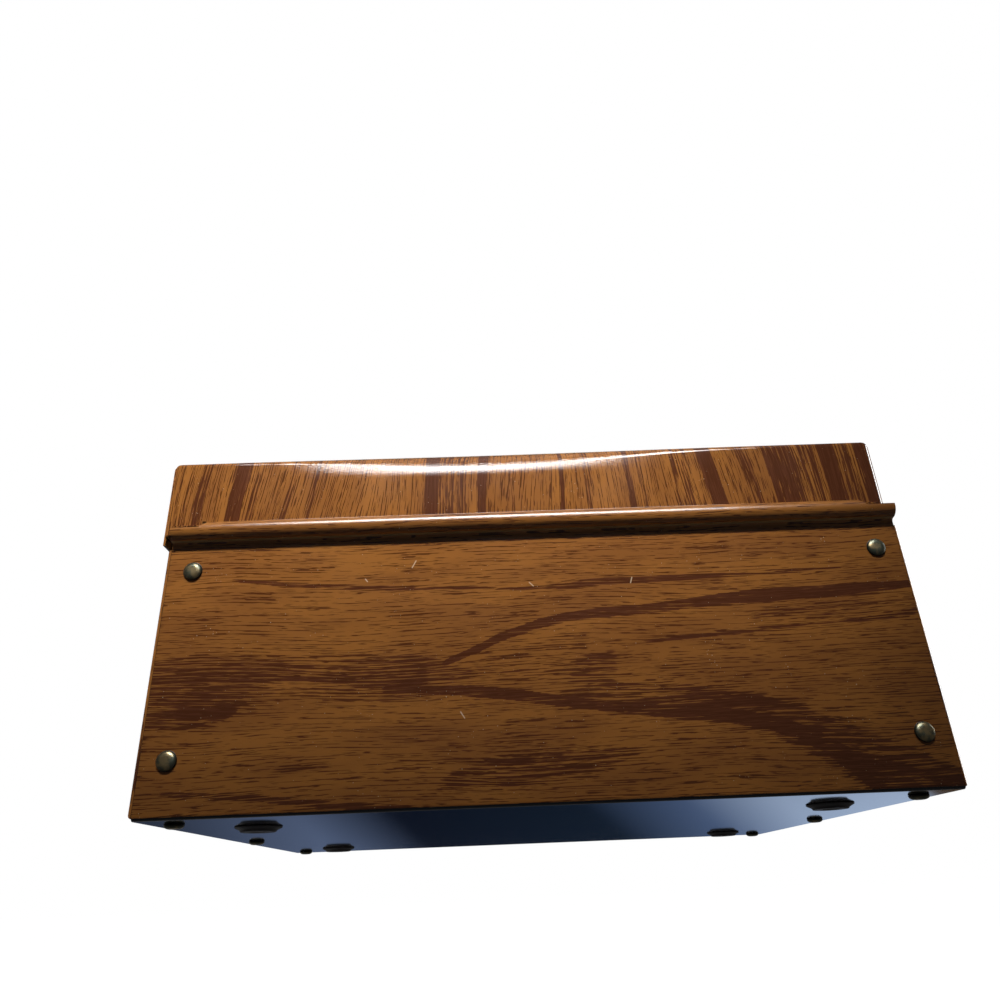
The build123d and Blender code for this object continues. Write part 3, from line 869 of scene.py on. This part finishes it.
def shrink(ratio):
    """Scales what is selected towards the axis, or away from it where ratio is over 1."""
    bpy.ops.transform.resize(value=(ratio, ratio, 1))


def rise(height):
    """Extrudes what is selected by that height, or down where it is negative."""
    bpy.ops.mesh.extrude_region_move(TRANSFORM_OT_translate={"value": (0, 0, height)})


def turned(name, radius, height, sides=32):
    """Starts a round piece: a low cylinder that stands on the ground, left in edit mode."""
    bpy.ops.object.select_all(action="DESELECT")
    bpy.ops.mesh.primitive_cylinder_add(
        vertices=sides, radius=radius, depth=height, location=(0, 0, height / 2),
    )
    piece = bpy.context.object
    piece.name = name
    bpy.ops.object.transform_apply(location=True, rotation=True, scale=True)
    bpy.ops.object.mode_set(mode="EDIT")
    return piece


def finished(piece):
    """Closes the work in edit mode, and smooths the piece by one level of subdivision."""
    bpy.ops.mesh.select_all(action="SELECT")
    bpy.ops.mesh.normals_make_consistent(inside=False)
    bpy.ops.object.mode_set(mode="OBJECT")
    softened = piece.modifiers.new("softened", "SUBSURF")
    softened.levels = softened.render_levels = 1
    bpy.ops.object.modifier_apply(modifier="softened")
    heights = [round(vertex.co.z / mm, 2) for vertex in piece.data.vertices]
    print(piece.name, len(piece.data.polygons), "faces,", min(heights), "to", max(heights), "mm high")


print("face tools ready")

# %% Rivet model
rivet_grip = 1.2 * mm
head_rim, head_edge = 2.83 * mm, 0.18 * mm
# Each row: how far a step of the dome rises in millimetres, and its share of the rim's radius.
dome_steps = ((0.42, 0.965), (0.36, 0.86), (0.25, 0.72), (0.14, 0.55), (0.05, 0.40))
dome_scale, dome_flat = 0.875, 0.6
shank_radius, curl_radius, bore_radius = 1.6 * mm, 2.22 * mm, 1.0 * mm
# Each row: how far a step of the curl goes down in millimetres, and its share of the curl's radius.
curl_steps = ((0.02, 0.92), (0.20, 1.0), (0.30, 0.97), (0.22, 0.80), (0.08, 0.62))
bore_depth, bore_taper = 0.9 * mm, 0.9
rivet_reach = 3 * mm

rivet = turned("rivet_model", head_rim, head_edge)
top, width = head_edge, 1.0
for step, share in dome_steps:
    pick_faces(top, 1, rivet_reach)
    rise(step * dome_scale * mm)
    shrink(share / width)
    top, width = top + step * dome_scale * mm, share
pick_faces(top, 1, rivet_reach)
bpy.ops.mesh.inset(thickness=width * head_rim * dome_flat)
pick_faces(0, -1, rivet_reach)
bpy.ops.mesh.inset(thickness=head_rim - shank_radius)
rise(-rivet_grip)
tail_radius = shank_radius
for drop, share in curl_steps:
    rise(-drop * mm)
    shrink(curl_radius * share / tail_radius)
    tail_radius = curl_radius * share
bpy.ops.mesh.inset(thickness=tail_radius - bore_radius)
rise(bore_depth)
shrink(bore_taper)
finished(rivet)
bpy.ops.object.shade_smooth()

# %% [markdown]
# The brass has gone dull and greenish, most of all round the rim, where polish never reaches. How far
# out a point lies is kept on the mesh as an attribute, so that every copy carries it along.

# %% Brass finish
brass_worn = (0.240, 0.180, 0.090, 1)
brass_tarnish = (0.062, 0.068, 0.048, 1)
# Near black, for the very edge of the head, where it meets the sheet.
brass_rim_dark = (0.014, 0.013, 0.010, 1)
brass_metallic = 0.75
rough_tarnished, rough_polished = 0.38, 0.28
rim_share = rivet.data.attributes.new("rim_share", "FLOAT", "POINT")
for vertex, share in zip(rivet.data.vertices, rim_share.data):
    share.value = math.hypot(vertex.co.x, vertex.co.y) / head_rim
rivet_finish, rivet_tree, rivet_shader = new_finish("tarnished_brass")
rivet_place, _ = place_in_mm(rivet_tree)
rivet_cloud = cloud_noise(rivet_tree, rivet_place, 1.8, 4.0)
rim_reader = rivet_tree.nodes.new("ShaderNodeAttribute")
rim_reader.attribute_name = "rim_share"
towards_rim = rim_reader.outputs["Fac"]
worn = calc(rivet_tree, "SUBTRACT", rivet_cloud, calc(rivet_tree, "MULTIPLY", towards_rim, 0.18))
brass = blend_colours(rivet_tree, ramp(rivet_tree, worn, 0.25, 0.55), brass_tarnish, brass_worn)
# The head turns near black at its very edge, where it meets the sheet.
uneven_rim = calc(rivet_tree, "MULTIPLY_ADD", rivet_cloud, 0.16, towards_rim)
dark_rim = ramp(rivet_tree, uneven_rim, 0.98, 1.06, 0.0, 0.9)
brass = blend_colours(rivet_tree, dark_rim, brass, brass_rim_dark)
plug(rivet_tree, rivet_shader.inputs["Base Color"], brass)
rivet_shader.inputs["Metallic"].default_value = brass_metallic
dull = ramp(rivet_tree, rivet_cloud, 0.3, 0.7, rough_tarnished, rough_polished)
plug(rivet_tree, rivet_shader.inputs["Roughness"], dull)
add_bump(rivet_tree, rivet_shader, cloud_noise(rivet_tree, rivet_place, 0.5, 3.0), 0.4, 0.00003)
rivet.data.materials.append(rivet_finish)
print("brass nodes:", len(rivet_tree.nodes))

# %% [markdown]
# Each rivet of the frame says where one goes: its box gives the middle of the head, and its name the
# sheet it goes through. A copy is turned to face out of that sheet, set down there and takes the
# place of the plain one.


# %% Rivet copies
def set_down(model, name, spot, turn, body):
    """Puts a copy of model, with its own mesh, in place of the node of that name."""
    bpy.ops.object.select_all(action="DESELECT")
    copy = model.copy()
    copy.data = model.data.copy()
    copy.name = copy.data.name = name + "_turned"
    bpy.context.scene.collection.objects.link(copy)
    bpy.context.view_layer.objects.active = copy
    copy.select_set(True)
    copy.rotation_euler = turn
    copy.location = spot
    bpy.ops.object.transform_apply(location=True, rotation=True, scale=True)
    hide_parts(name)
    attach(copy, body)


facing_out = {"back": (math.pi / 2, 0, 0), "front": (-math.pi / 2, 0, 0), "bottom": (math.pi, 0, 0)}
back_face, front_face, bottom_face = -half_depth * mm, half_depth * mm, 1.5 * mm
rivet_names = [name for name in nodes if name.startswith("rivet_")]
for name in rivet_names:
    low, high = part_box(name)
    spot = [(a + b) / 2 for a, b in zip(low, high)]
    sheet = name.split("_")[1]
    if sheet == "bottom":
        spot[2] = bottom_face
    else:
        spot[1] = back_face if sheet == "back" else front_face
    set_down(rivet, name, spot, facing_out[sheet], "box")
bpy.data.objects.remove(rivet)
print("rivets set:", len(rivet_names))

# %% [markdown]
# ## The feet
#
# The feet are low black rubber buttons with a bevelled rim. Where they touch a table their face is
# flat, with a shallow dimple that the mould leaves in the middle.

# %% Foot model
foot_tip, foot_bevel, foot_base = 5.2 * mm, 6.75 * mm, 6.97 * mm
tread_height, bevel_height, rim_height, edge_height = 0.5 * mm, 0.55 * mm, 0.35 * mm, 0.1 * mm
dimple_depth = 0.28 * mm
foot_sides, foot_reach = 48, 6 * mm

foot = turned("foot_model", foot_tip, tread_height, foot_sides)
pick_faces(tread_height, 1, foot_reach)
rise(bevel_height)
shrink(foot_bevel / foot_tip)
rise(rim_height)
shrink(foot_base / foot_bevel)
rise(edge_height)
shrink(0.985)
pick_faces(0, -1, foot_reach)
for ring in (0.25, 2.2, 0.4):
    bpy.ops.mesh.inset(thickness=ring * mm)
bpy.ops.transform.translate(value=(0, 0, dimple_depth))
bpy.ops.mesh.inset(thickness=0.8 * mm)
finished(foot)
bpy.ops.object.shade_smooth_by_angle(angle=math.radians(40))

# %% [markdown]
# Black rubber is never quite black: dust settles in it in patches, and makes it greyer and duller
# there. A fine bump breaks its gloss, so it doesn't look like glazed clay.

# %% Rubber finish
rubber_black = (0.009, 0.006, 0.007, 1)
rubber_dusty = (0.034, 0.023, 0.025, 1)
foot_finish, foot_tree, foot_shader = new_finish("black_rubber")
foot_place, foot_facing = place_in_mm(foot_tree)
foot_cloud = cloud_noise(foot_tree, foot_place, 2.6, 4.0)
dust = calc(foot_tree, "MULTIPLY_ADD", foot_facing["Z"], 0.12, foot_cloud)
rubber = blend_colours(foot_tree, ramp(foot_tree, dust, 0.3, 0.65), rubber_black, rubber_dusty)
plug(foot_tree, foot_shader.inputs["Base Color"], rubber)
foot_roughness = ramp(foot_tree, foot_cloud, 0.3, 0.7, 0.42, 0.6)
plug(foot_tree, foot_shader.inputs["Roughness"], foot_roughness)
add_bump(foot_tree, foot_shader, cloud_noise(foot_tree, foot_place, 0.35, 2.0), 0.5, 0.00005)
foot.data.materials.append(foot_finish)
print("rubber nodes:", len(foot_tree.nodes))

# %% [markdown]
# The foot was modelled the way it stands, so its copies need no turn. Each goes to the middle of the
# plain foot that the frame has there.

# %% Foot copies
foot_names = [name for name in nodes if name.startswith("foot_")]
for name in foot_names:
    low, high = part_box(name)
    spot = ((low[0] + high[0]) / 2, (low[1] + high[1]) / 2, 0)
    set_down(foot, name, spot, (0, 0, 0), "box")
bpy.data.objects.remove(foot)
print("feet set:", len(foot_names))
